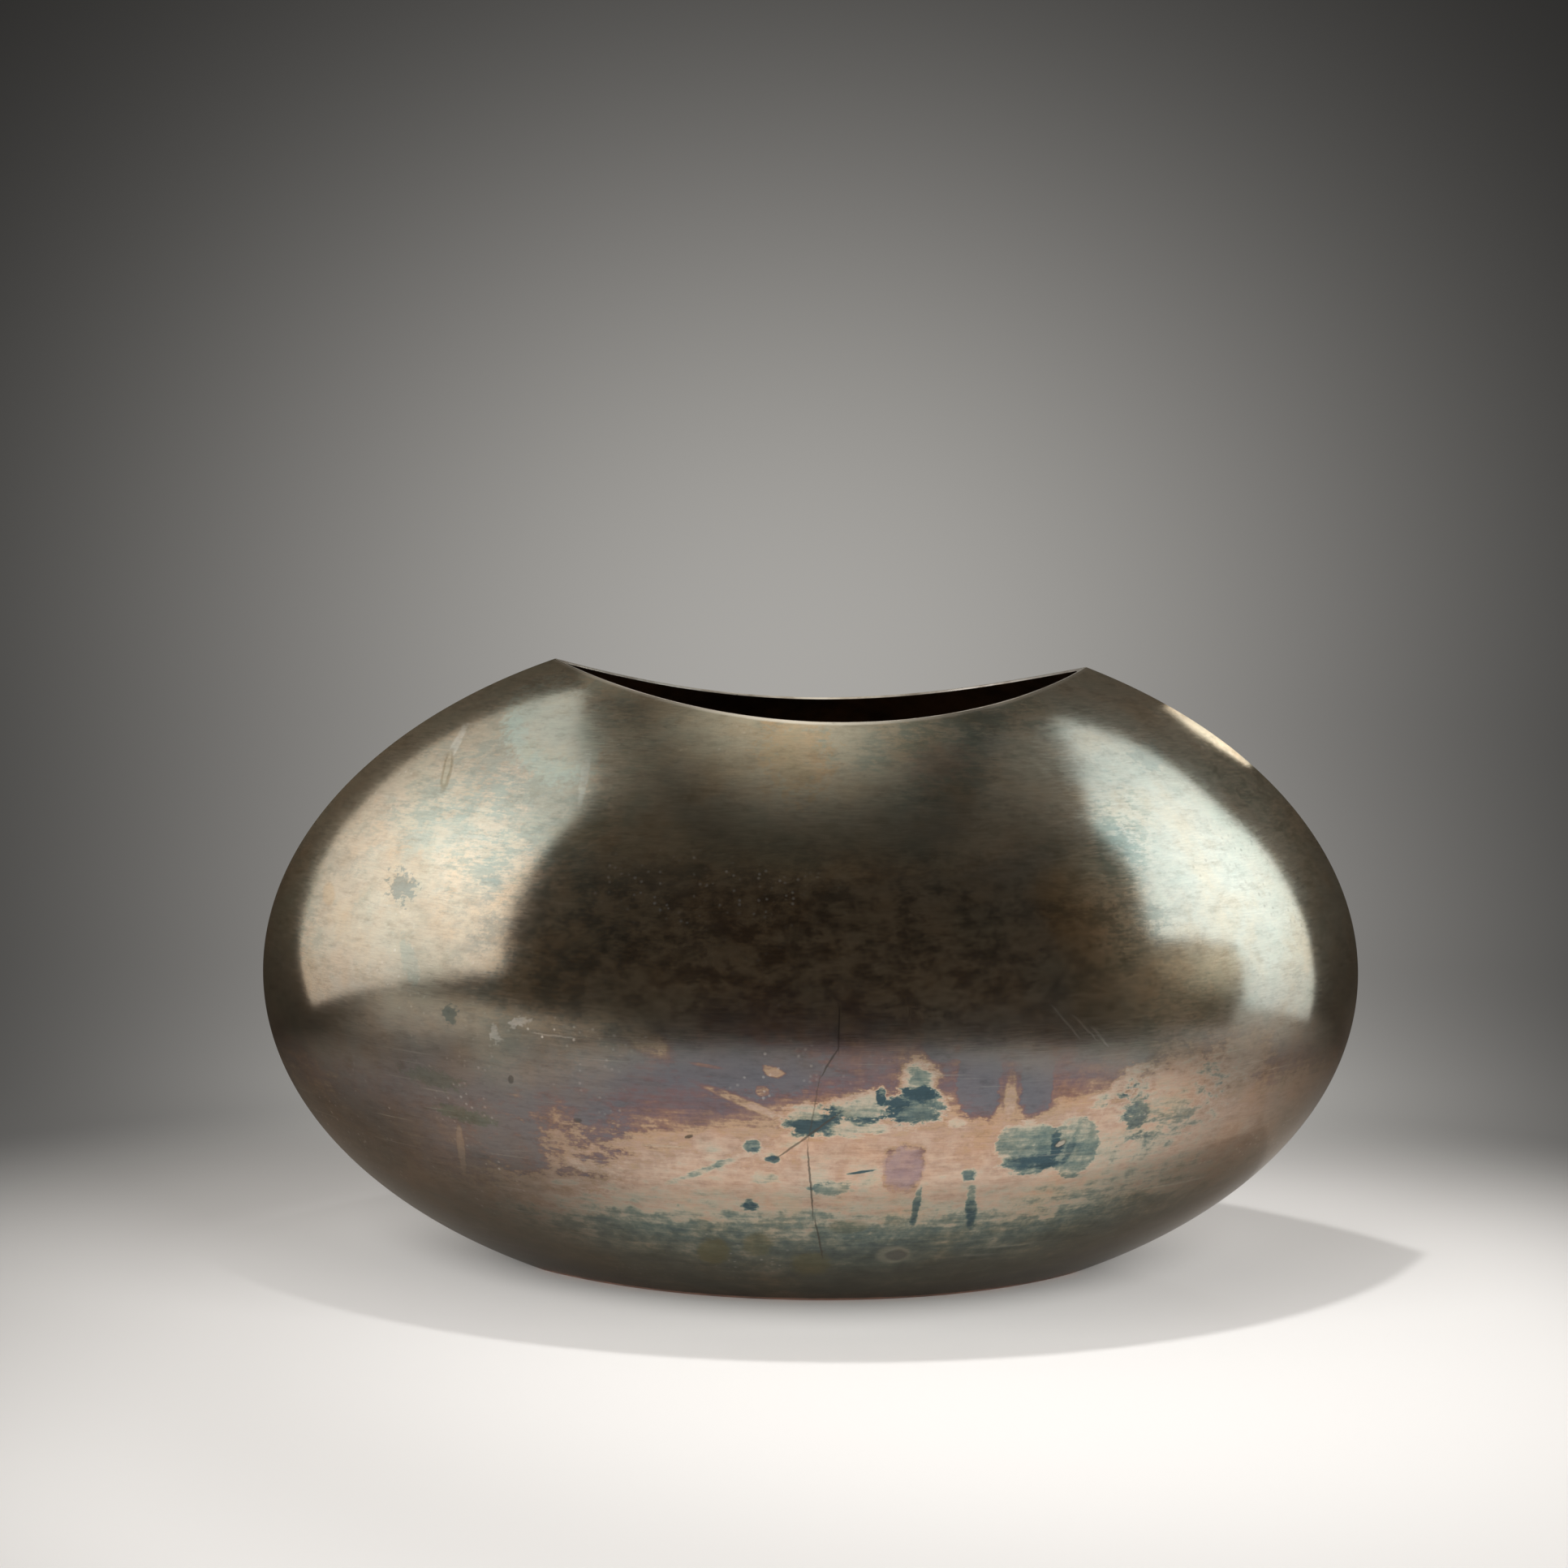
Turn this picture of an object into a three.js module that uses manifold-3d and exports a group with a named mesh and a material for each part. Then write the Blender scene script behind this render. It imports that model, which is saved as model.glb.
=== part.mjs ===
// A sheet-metal vase shaped like a fat oval lens. Two equal domed shells meet face to face
// in a sharp seam that runs round the oval, a flat plate closes the foot, and a shallow
// round sweep cut through both shells leaves a long crescent mouth between two horns.
//
// Millimetres, +Z up. X runs along the long way of the oval, the front faces -Y, and the
// origin is the middle of the foot, on the surface that the vase stands on.

import * as THREE from "three";
import { mergeVertices } from "three/addons/utils/BufferGeometryUtils.js";
import Module from "manifold-3d";

const wasm = await Module();
wasm.setup();

// Driving dimensions of the oval body. Its widest line is a little below half height.
const bodyWidth = 360; // seam to seam, along X
const upperRise = 117.5; // from the widest line to the top of the uncut oval
const lowerDrop = 113; // from the widest line to the bottom of the uncut oval
const bodyDepth = 223; // crown to crown, front to back
const shellSheet = 1.2; // sheet that the shells are pressed from
const seamLand = 3; // width of the soldered flat where the two shells meet

// Driving dimensions of the mouth and the foot.
const mouthRadius = 255; // of the round sweep that cuts the mouth
const mouthFloor = 88; // lowest point of the mouth above the widest line
const footWidth = 175; // of the straight cut that the vase stands on
const plateSheet = 1.2; // sheet of the foot plate
const solderFilm = 0.1; // left between pieces that are soldered together

// How finely the round forms are faceted.
const facetsAround = 80;
const facetsAcross = 15;
const facetsOfSweep = 240;

// What follows from the driving dimensions.
const halfWidth = bodyWidth / 2;
const halfDepth = bodyDepth / 2;
const footShare = Math.sqrt(1 - (footWidth / bodyWidth) ** 2);
const equatorHeight = -ovalHeight(-footShare, upperRise, lowerDrop);
const past = 1.5; // how long a cutter is, as a share of the body that it passes through

// The two ovals that bound the sheet of a shell.
const outerDome = {
  width: halfWidth,
  rise: upperRise,
  drop: lowerDrop,
  crown: halfDepth,
};
const innerDome = {
  width: halfWidth - edgeWidth(halfWidth),
  rise: upperRise - edgeWidth(upperRise),
  drop: lowerDrop - edgeWidth(lowerDrop),
  crown: halfDepth - shellSheet,
};

/** Turns a closed three.js geometry into a solid that can be cut. */
function solidFrom(geometry) {
  const bare = geometry.clone();
  bare.deleteAttribute("normal");
  bare.deleteAttribute("uv");
  const merged = mergeVertices(bare, 1e-4);
  return new wasm.Manifold(
    new wasm.Mesh({
      numProp: 3,
      vertProperties: new Float32Array(merged.attributes.position.array),
      triVerts: new Uint32Array(merged.index.array),
    }),
  );
}

/** Turns a cut solid back into a geometry with flat facets. */
function geometryFrom(solid) {
  const mesh = solid.getMesh();
  const geometry = new THREE.BufferGeometry();
  geometry.setAttribute(
    "position",
    new THREE.BufferAttribute(mesh.vertProperties, mesh.numProp),
  );
  geometry.setIndex(new THREE.BufferAttribute(mesh.triVerts, 1));
  const facets = geometry.toNonIndexed();
  facets.computeVertexNormals();
  return facets;
}

/** Height over the widest line at a share of the way to the oval's top (1) or bottom (-1). */
function ovalHeight(share, rise, drop) {
  return ((rise + drop) * share + (rise - drop) * share ** 2) / 2;
}

/** Radius of the circular arc that a dome's section follows from its crown to its edge. */
function arcRadiusOf(dome) {
  return (dome.width ** 2 + dome.crown ** 2) / (2 * dome.crown);
}

/**
 * Points of a dome's section across its width, from the crown on the Y axis out to endRadius,
 * on the circular arc that would meet the seam plane at the dome's full half width.
 */
function domeArc(dome, endRadius) {
  const arcRadius = arcRadiusOf(dome);
  const sweep = Math.asin(endRadius / arcRadius);
  const points = [];
  for (let i = 0; i <= facetsAcross; i++) {
    const angle = (sweep * i) / facetsAcross;
    const radius = arcRadius * Math.sin(angle);
    const height = arcRadius * Math.cos(angle) - arcRadius + dome.crown;
    points.push(new THREE.Vector2(radius, Math.max(height, 0)));
  }
  points[0].x = 0;
  return points;
}

/** Width that the sheet shows at the seam across a half span, where it is cut square to Y. */
function edgeWidth(halfSpan) {
  const slopeAcross = Math.tan(Math.asin(halfWidth / arcRadiusOf(outerDome)));
  const slope = Math.atan((slopeAcross * halfWidth) / halfSpan);
  return shellSheet / Math.sin(slope);
}

/** Spins a profile round the Y axis and shapes each ring to the oval of its own dome. */
function spunOval(profile, domeAt) {
  const geometry = new THREE.LatheGeometry(profile, facetsAround);
  const position = geometry.attributes.position;
  for (let i = 0; i < position.count; i++) {
    const dome = domeAt(i % profile.length);
    const share = position.getZ(i) / dome.width;
    position.setZ(i, ovalHeight(share, dome.rise, dome.drop) + equatorHeight);
  }
  return geometry;
}

/** One shell as it leaves the press: an oval dish of even sheet, crown towards +Y. */
function pressedShell() {
  const outer = domeArc(outerDome, outerDome.width);
  const inner = domeArc(innerDome, halfWidth - seamLand);
  inner.push(new THREE.Vector2(halfWidth - seamLand, 0));
  const profile = [...inner, ...outer.reverse()];
  return spunOval(profile, (ring) => (ring < inner.length ? innerDome : outerDome));
}

/** The whole outer form of the body as one solid lens, uncut. */
function solidLens() {
  const upper = domeArc(outerDome, outerDome.width);
  const lower = upper.slice(0, -1).map((p) => new THREE.Vector2(p.x, -p.y));
  const profile = [...lower, ...upper.reverse()];
  return solidFrom(spunOval(profile, () => outerDome));
}

/** The round bar that sweeps the mouth out of both shells. */
function mouthCutter() {
  const bar = new THREE.CylinderGeometry(
    mouthRadius,
    mouthRadius,
    bodyDepth * past,
    facetsOfSweep,
  );
  bar.rotateY(Math.PI / facetsOfSweep);
  bar.translate(0, 0, equatorHeight + mouthFloor + mouthRadius);
  return solidFrom(bar);
}

/** A slab across the whole body between two heights. */
function slab(bottom, top) {
  const block = new THREE.BoxGeometry(bodyWidth * past, bodyDepth * past, top - bottom);
  block.translate(0, 0, (top + bottom) / 2);
  return solidFrom(block);
}

/** A finished shell: trimmed flat at the foot and swept out at the mouth. */
function trimmedShell() {
  const belowFoot = slab(-lowerDrop, plateSheet + solderFilm);
  return solidFrom(pressedShell()).subtract(belowFoot).subtract(mouthCutter());
}

/** The foot plate: a flat sheet filed flush with the outside of both shells. */
function footPlate() {
  return solidLens().intersect(slab(0, plateSheet));
}

const silverPlate = new THREE.MeshStandardMaterial({
  color: 0x8f8674,
  roughness: 0.3,
  metalness: 1,
});
const bareBrass = new THREE.MeshStandardMaterial({
  color: 0x8a6a50,
  roughness: 0.45,
  metalness: 1,
});

const shell = trimmedShell();

const backShell = new THREE.Mesh(
  geometryFrom(shell).translate(0, solderFilm / 2, 0),
  silverPlate,
);
backShell.name = "back_shell";

const frontShell = new THREE.Mesh(
  geometryFrom(shell).rotateZ(Math.PI).translate(0, -solderFilm / 2, 0),
  silverPlate,
);
frontShell.name = "front_shell";

const basePlate = new THREE.Mesh(geometryFrom(footPlate()), bareBrass);
basePlate.name = "base_plate";

const vase = new THREE.Group();
vase.name = "lens_vase";
vase.add(frontShell, backShell, basePlate);

export default vase;
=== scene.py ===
"""An oval lens-shaped vase of tarnished silver plate on a plain pale floor.

Two equal domed shells meet face to face in a sharp seam, a flat plate closes the foot, and a
round sweep through both shells leaves a long crescent mouth between two horns.
"""

from __future__ import annotations

import logging
import math
from dataclasses import dataclass, replace
from enum import Enum
from typing import Any

import bmesh
import bpy
from mathutils import Matrix, Vector

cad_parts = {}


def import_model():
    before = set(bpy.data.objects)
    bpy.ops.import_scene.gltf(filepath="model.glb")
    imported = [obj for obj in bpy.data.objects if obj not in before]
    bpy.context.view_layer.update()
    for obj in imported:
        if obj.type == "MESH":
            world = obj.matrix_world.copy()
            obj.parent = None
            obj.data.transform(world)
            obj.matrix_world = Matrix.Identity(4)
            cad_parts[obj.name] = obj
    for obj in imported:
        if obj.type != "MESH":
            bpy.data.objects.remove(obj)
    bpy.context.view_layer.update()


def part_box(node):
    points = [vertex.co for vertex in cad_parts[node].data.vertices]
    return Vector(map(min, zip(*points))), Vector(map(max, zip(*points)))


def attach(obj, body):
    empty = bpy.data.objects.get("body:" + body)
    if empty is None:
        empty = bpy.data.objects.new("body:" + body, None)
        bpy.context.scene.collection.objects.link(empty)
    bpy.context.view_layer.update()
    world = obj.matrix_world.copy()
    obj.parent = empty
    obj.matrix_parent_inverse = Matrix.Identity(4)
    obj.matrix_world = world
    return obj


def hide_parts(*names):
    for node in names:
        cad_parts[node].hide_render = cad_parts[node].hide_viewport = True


LOG = logging.getLogger("vase")
PHOTO_SIDE = 1932
SENSOR_WIDTH = 36.0
SHARP_ANGLE = math.radians(35)
FRAYING = 5

Colour = tuple[float, float, float, float]
Stops = tuple[tuple[float, Colour], ...]
Flat = tuple[float, float]
Point = tuple[float, float, float]
Oval = tuple[Flat, Flat]


class Side(Enum):
    """The side of the seam on which a shell lies, as a turn about the upright axis."""

    FRONT = math.pi
    BACK = 0.0


class Layer(Enum):
    """The parts of a shell's surface that have a finish of their own, as material numbers."""

    OUTSIDE = 0
    INSIDE = 1
    RIM = 2


class Sock:
    """A shader socket or a number that Python's operators turn into Math nodes."""

    def __init__(self, tree: "ShaderTree", value: Any) -> None:
        """Keeps the socket or number.

        Args:
            tree: The tree that new nodes go into.
            value: An output socket or a plain number.
        """
        self.tree = tree
        self.value = value

    def _math(self, operation: str, *values: Any) -> "Sock":
        """Adds one Math node.

        Args:
            operation: The node's operation.
            values: What its input sockets hold, in order.

        Returns:
            The node's result.
        """
        return self.tree.node("ShaderNodeMath", {"operation": operation}, dict(enumerate(values)))

    def __add__(self, other: Any) -> "Sock":
        """Adds a socket or number."""
        return self._math("ADD", self, other)

    __radd__ = __add__

    def __mul__(self, other: Any) -> "Sock":
        """Multiplies by a socket or number."""
        return self._math("MULTIPLY", self, other)

    __rmul__ = __mul__

    def __sub__(self, other: Any) -> "Sock":
        """Subtracts a socket or number."""
        return self._math("SUBTRACT", self, other)

    def __rsub__(self, other: Any) -> "Sock":
        """Is subtracted from a socket or number."""
        return self._math("SUBTRACT", other, self)

    def __truediv__(self, other: Any) -> "Sock":
        """Divides by a socket or number."""
        return self._math("DIVIDE", self, other)

    def __pow__(self, other: Any) -> "Sock":
        """Raises to a power."""
        return self._math("POWER", self, other)

    def exp(self) -> "Sock":
        """Returns e to the power of the value."""
        return self._math("EXPONENT", self)

    def highest(self, other: Any) -> "Sock":
        """Returns the larger of the two."""
        return self._math("MAXIMUM", self, other)

    def off_centre(self) -> "Sock":
        """Returns how far the value is from 0."""
        return (self**2.0) ** 0.5

    def stepped(self, low: float, high: float) -> "Sock":
        """Runs smoothly from 0 at low to 1 at high.

        Args:
            low: The value that becomes 0.
            high: The value that becomes 1.

        Returns:
            The stepped value.
        """
        settings = {"interpolation_type": "SMOOTHSTEP"}
        return self.tree.node("ShaderNodeMapRange", settings, {0: self, 1: low, 2: high})


class ShaderTree:
    """The node tree of a material or the world."""

    def __init__(self, owner: Any) -> None:
        """Empties the owner's tree.

        Args:
            owner: The material or world that the tree belongs to.
        """
        owner.use_nodes = True
        self.owner = owner
        self.nodes = owner.node_tree.nodes
        self.links = owner.node_tree.links
        self.nodes.clear()

    def node(
        self, kind: str, settings: dict[str, Any], values: dict[Any, Any], out: int | str = 0
    ) -> Sock:
        """Adds a node, sets it and fills its sockets.

        Args:
            kind: The node's type.
            settings: The node's settings, with a ramp's stops under "stops".
            values: What each input socket holds, a value or a link.
            out: The output socket that is wanted.

        Returns:
            The output socket.
        """
        node = self.nodes.new(kind)
        for key, setting in settings.items():
            if key == "stops":
                self._set_stops(node, setting)
            else:
                setattr(node, key, setting)
        for key, value in values.items():
            socket = node.inputs[key]
            if isinstance(value, Sock):
                value = value.value
            if isinstance(value, bpy.types.NodeSocket):
                self.links.new(value, socket)
            else:
                socket.default_value = value
        return Sock(self, node.outputs[out])

    @staticmethod
    def _set_stops(node: Any, stops: Stops) -> None:
        """Sets a colour ramp's stops.

        Args:
            node: The ramp node.
            stops: Places from 0 to 1 with their colours.
        """
        elements = node.color_ramp.elements
        while len(elements) < len(stops):
            elements.new(1.0)
        for element, (place, colour) in zip(elements, stops):
            element.position = place
            element.color = colour

    def place(self) -> Sock:
        """Returns the point on the piece in the shared frame."""
        return self.node("ShaderNodeTexCoord", {}, {}, "Object")

    def parts(self, vector: Sock) -> tuple[Sock, Sock, Sock]:
        """Splits a vector into its X, Y and Z.

        Args:
            vector: The vector.

        Returns:
            The three parts.
        """
        split = self.node("ShaderNodeSeparateXYZ", {}, {0: vector}).value.node
        return tuple(Sock(self, split.outputs[axis]) for axis in range(3))

    def mapped(
        self, point: Sock, scale: Point, shift: Point = (0, 0, 0), turn: Point = (0, 0, 0)
    ) -> Sock:
        """Scales, turns and shifts a point.

        Args:
            point: The point.
            scale: Factors along X, Y and Z.
            shift: What is added along X, Y and Z after the scaling.
            turn: Turns about X, Y and Z in radians.

        Returns:
            The mapped point.
        """
        values = {"Vector": point, "Scale": scale, "Location": shift, "Rotation": turn}
        return self.node("ShaderNodeMapping", {}, values)

    def oval(
        self, point: Sock, place: Flat, half_size: Flat, tilt: float = 0.0, square: bool = False
    ) -> Sock:
        """Measures a point against an oval drawn on the front, 0 at its middle and 1 at its edge.

        Args:
            point: The point.
            place: The oval's middle, across and up.
            half_size: Its half width and half height.
            tilt: Degrees that its right end is raised by.
            square: Whether it is filled out towards a rectangle.

        Returns:
            The distance as a share of the oval's size.
        """
        values = {
            "Vector": point,
            "Location": (place[0], 0.0, place[1]),
            "Rotation": (0.0, -math.radians(tilt), 0.0),
            "Scale": (half_size[0], 1000.0, half_size[1]),
        }
        local = self.node("ShaderNodeMapping", {"vector_type": "TEXTURE"}, values)
        if square:
            times = {"operation": "MULTIPLY"}
            local = self.node("ShaderNodeVectorMath", times, {0: local, 1: local})
        off = self.length(local)
        return off**0.5 if square else off

    def length(self, vector: Sock) -> Sock:
        """Returns how long a vector is."""
        return self.node("ShaderNodeVectorMath", {"operation": "LENGTH"}, {0: vector}, "Value")

    def noise(self, point: Sock, scale: float, detail: float, rough: float) -> Sock:
        """Adds a noise texture.

        Args:
            point: Where the noise is read.
            scale: How fine it is.
            detail: Octaves.
            rough: Weight of the fine octaves.

        Returns:
            The noise, about 0 to 1.
        """
        values = {"Vector": point, "Scale": scale, "Detail": detail, "Roughness": rough}
        return self.node("ShaderNodeTexNoise", {}, values)

    def stretched_noise(self, point: Sock, scale: Point, detail: float, rough: float) -> Sock:
        """Adds a noise texture with its own fineness along each axis.

        Args:
            point: Where the noise is read.
            scale: How fine it is along X, Y and Z.
            detail: Octaves.
            rough: Weight of the fine octaves.

        Returns:
            The noise, about 0 to 1.
        """
        return self.noise(self.mapped(point, scale), 1.0, detail, rough)

    def jittered(self, point: Sock, scale: float, amount: float) -> Sock:
        """Pushes a point about by noise, so that what is drawn with it gets ragged.

        Args:
            point: The point.
            scale: How fine the noise is.
            amount: The furthest push in metres, each way.

        Returns:
            The pushed point.
        """
        values = {"Vector": point, "Scale": scale, "Detail": 4.0, "Roughness": 0.6}
        push = self.node("ShaderNodeTexNoise", {}, values, "Color")
        add = {"operation": "MULTIPLY_ADD"}
        half = (-amount, -amount, -amount)
        offset = self.node("ShaderNodeVectorMath", add, {0: push, 1: (2 * amount,) * 3, 2: half})
        return self.node("ShaderNodeVectorMath", {"operation": "ADD"}, {0: point, 1: offset})

    def ramp(self, factor: Sock, stops: Stops) -> Sock:
        """Turns a value into a colour."""
        return self.node("ShaderNodeValToRGB", {"stops": stops}, {0: factor})

    def mix(self, factor: Any, first: Any, second: Any, blend: str = "MIX") -> Sock:
        """Mixes two colours.

        Args:
            factor: 0 gives the first colour, 1 the second.
            first: A colour or link.
            second: A colour or link.
            blend: How the second colour is laid over the first.

        Returns:
            The mixed colour.
        """
        settings = {"data_type": "RGBA", "clamp_factor": True, "blend_type": blend}
        return self.node("ShaderNodeMix", settings, {0: factor, 6: first, 7: second}, 2)

    def finish(
        self, values: dict[str, Any], haze: dict[str, Any] | None = None, share: float = 0.0
    ) -> Any:
        """Ends the tree in a Principled shader, with a hazier one mixed in where asked for.

        Args:
            values: What the shader's sockets hold.
            haze: What sockets of the hazier one hold instead.
            share: The hazier one's share.

        Returns:
            The tree's owner.
        """
        shader = self.node("ShaderNodeBsdfPrincipled", {}, values)
        if haze:
            soft = self.node("ShaderNodeBsdfPrincipled", {}, values | haze)
            shader = self.node("ShaderNodeMixShader", {}, {0: share, 1: shader, 2: soft})
        self.node_out("ShaderNodeOutputMaterial", {"Surface": shader})
        return self.owner

    def node_out(self, kind: str, values: dict[str, Any]) -> None:
        """Adds an output node, which has no output socket itself."""
        node = self.nodes.new(kind)
        for key, value in values.items():
            self.links.new(value.value, node.inputs[key])


def rgba(red: float, green: float, blue: float) -> Colour:
    """Adds full opacity to a linear colour."""
    return (red, green, blue, 1.0)


def new_material(name: str) -> ShaderTree:
    """Starts a material with an empty tree."""
    return ShaderTree(bpy.data.materials.new(name))


@dataclass(frozen=True)
class Stain:
    """A ragged oval, seen from the front, in which the tarnish film is thicker or thinner."""

    place: Flat
    half_size: Flat
    shift: float
    tilt: float = 0.0
    soft: float = 0.15
    ragged: float = 0.5
    square: bool = False


@dataclass(frozen=True)
class Mark:
    """A thin scratch, fleck or sooty spot of one colour on top of the film."""

    place: Flat
    half_size: Flat
    colour: Colour
    strength: float = 0.8
    tilt: float = 0.0
    ragged: float = 0.0


PLAIN = rgba(1.0, 1.0, 1.0)
ORANGE = rgba(0.50, 0.36, 0.21)
OLIVE = rgba(0.15, 0.145, 0.09)
SOOT = rgba(0.08, 0.07, 0.06)
WHITE = rgba(0.86, 0.82, 0.76)

FRONT_STAINS = (
    # Wide, soft changes over the whole belly.
    Stain((-0.062, 0.080), (0.045, 0.014), -0.14, -4, 0.7),
    Stain((-0.125, 0.060), (0.045, 0.035), -0.32, 0, 0.6),
    Stain((0.090, 0.062), (0.026, 0.026), 0.10, 0, 0.5),
    # Drops and runs of a thinner film, which are plum and slate with an orange edge.
    Stain((-0.028, 0.090), (0.024, 0.008), -0.16, -6, 0.3),
    Stain((-0.095, 0.056), (0.011, 0.007), -0.12, 0, 0.2),
    Stain((-0.078, 0.051), (0.0046, 0.002), -0.20),
    Stain((0.042, 0.086), (0.0062, 0.0130), -0.28, 0, 0.12, 0.2, True),
    Stain((0.060, 0.084), (0.0048, 0.0105), -0.28, 0, 0.12, 0.2, True),
    Stain((0.030, 0.100), (0.0050, 0.0080), -0.20, 0, 0.2, 0.3, True),
    Stain((0.076, 0.098), (0.0040, 0.0060), -0.20, 0, 0.2, 0.3, True),
    Stain((0.021, 0.057), (0.0062, 0.0082), -0.20, 0, 0.1, 0.15, True),
    Stain((0.026, 0.096), (0.0060, 0.0050), -0.1, 0, 0.3),
    Stain((0.092, 0.090), (0.0035, 0.0045), -0.2, 0, 0.2, 0.4),
    Stain((-0.062, 0.062), (0.016, 0.009), -0.06, -20, 0.5),
    # Streaks and drops of a thicker film, which are cream, green, teal and navy.
    Stain((-0.055, 0.095), (0.009, 0.0034), 0.28, -25, 0.4),
    Stain((-0.029, 0.079), (0.014, 0.0013), 0.22, -22, 0.4, 0.3),
    Stain((-0.038, 0.089), (0.006, 0.0006), 0.30, -8, 0.4, 0.3),
    Stain((-0.019, 0.088), (0.0034, 0.0018), 0.42, -20, 0.2, 0.4),
    Stain((-0.022, 0.082), (0.0020, 0.0016), 0.3, 0, 0.2, 0.4),
    Stain((-0.098, 0.062), (0.0100, 0.0110), -0.18, 0, 0.3, 0.9),
    Stain((-0.070, 0.072), (0.0050, 0.0200), -0.12, 0, 0.5, 0.9),
    Stain((-0.115, 0.099), (0.0020, 0.0026), 0.8),
    Stain((-0.112, 0.054), (0.0012, 0.0085), 0.25, 4, 0.3, 0.3),
    Stain((-0.080, 0.047), (0.005, 0.0012), 0.22, 4, 0.3),
    Stain((-0.035, 0.065), (0.0066, 0.0042), 0.09, 0, 0.1, 0.3),
    Stain((-0.037, 0.056), (0.015, 0.0011), 0.20, 27, 0.4, 0.6),
    Stain((-0.013, 0.067), (0.012, 0.0030), 0.16, 36, 0.3, 0.8),
    Stain((-0.024, 0.064), (0.0026, 0.0022), 0.42, 0, 0.3),
    Stain((-0.018, 0.060), (0.0022, 0.0012), 0.38, 0, 0.3),
    Stain((-0.024, 0.0435), (0.0026, 0.0020), 0.38, 0, 0.3),
    Stain((-0.020, 0.0535), (0.0050, 0.0022), 0.16, 0, 0.3, 0.7),
    Stain((-0.008, 0.073), (0.0080, 0.0050), 0.40, 0, 0.3, 0.5),
    Stain((0.002, 0.0710), (0.015, 0.0030), 0.26, 0, 0.3, 0.6),
    Stain((0.008, 0.0775), (0.011, 0.0046), 0.42, 6, 0.3, 0.5),
    Stain((0.023, 0.0775), (0.0090, 0.0054), 0.55, 0, 0.3, 0.5),
    Stain((0.024, 0.086), (0.0050, 0.0065), 0.60, 0, 0.6, 0.5),
    Stain((0.013, 0.081), (0.0015, 0.0030), 0.55, 0, 0.2, 0.3),
    Stain((0.000, 0.050), (0.0060, 0.0020), 0.20, 0, 0.3, 0.8),
    Stain((0.052, 0.081), (0.0016, 0.0080), 0.16, 0, 0.4, 0.4),
    Stain((0.0590, 0.0625), (0.0108, 0.0090), 0.27, -14, 0.06, 0.16),
    Stain((0.0735, 0.0615), (0.0080, 0.0105), 0.19, 0, 0.06, 0.16),
    Stain((0.106, 0.078), (0.0160, 0.0120), 0.26, 30, 0.6, 0.9),
    Stain((0.128, 0.086), (0.0120, 0.0080), 0.30, 20, 0.6, 0.9),
    Stain((0.060, 0.0575), (0.0085, 0.0024), 0.18, 0, 0.3, 0.6),
    Stain((0.072, 0.061), (0.0012, 0.0050), 0.10, -20, 0.3, 0.6),
    Stain((0.087, 0.081), (0.0100, 0.0028), 0.22, 38, 0.4, 0.9),
    Stain((0.093, 0.072), (0.0030, 0.0090), 0.15, 0, 0.4, 0.9),
    Stain((0.036, 0.072), (0.0030, 0.0016), 0.25, 0, 0.3),
    Stain((0.026, 0.044), (0.0011, 0.0080), 0.24, -4, 0.3, 0.4),
    Stain((0.043, 0.043), (0.0016, 0.0080), 0.24, 6, 0.3, 0.4),
    Stain((0.041, 0.054), (0.0022, 0.0020), 0.3, 0, 0.3, 0.6),
    Stain((0.008, 0.056), (0.0040, 0.0005), 0.40, 10, 0.3, 0.4),
)

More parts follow.
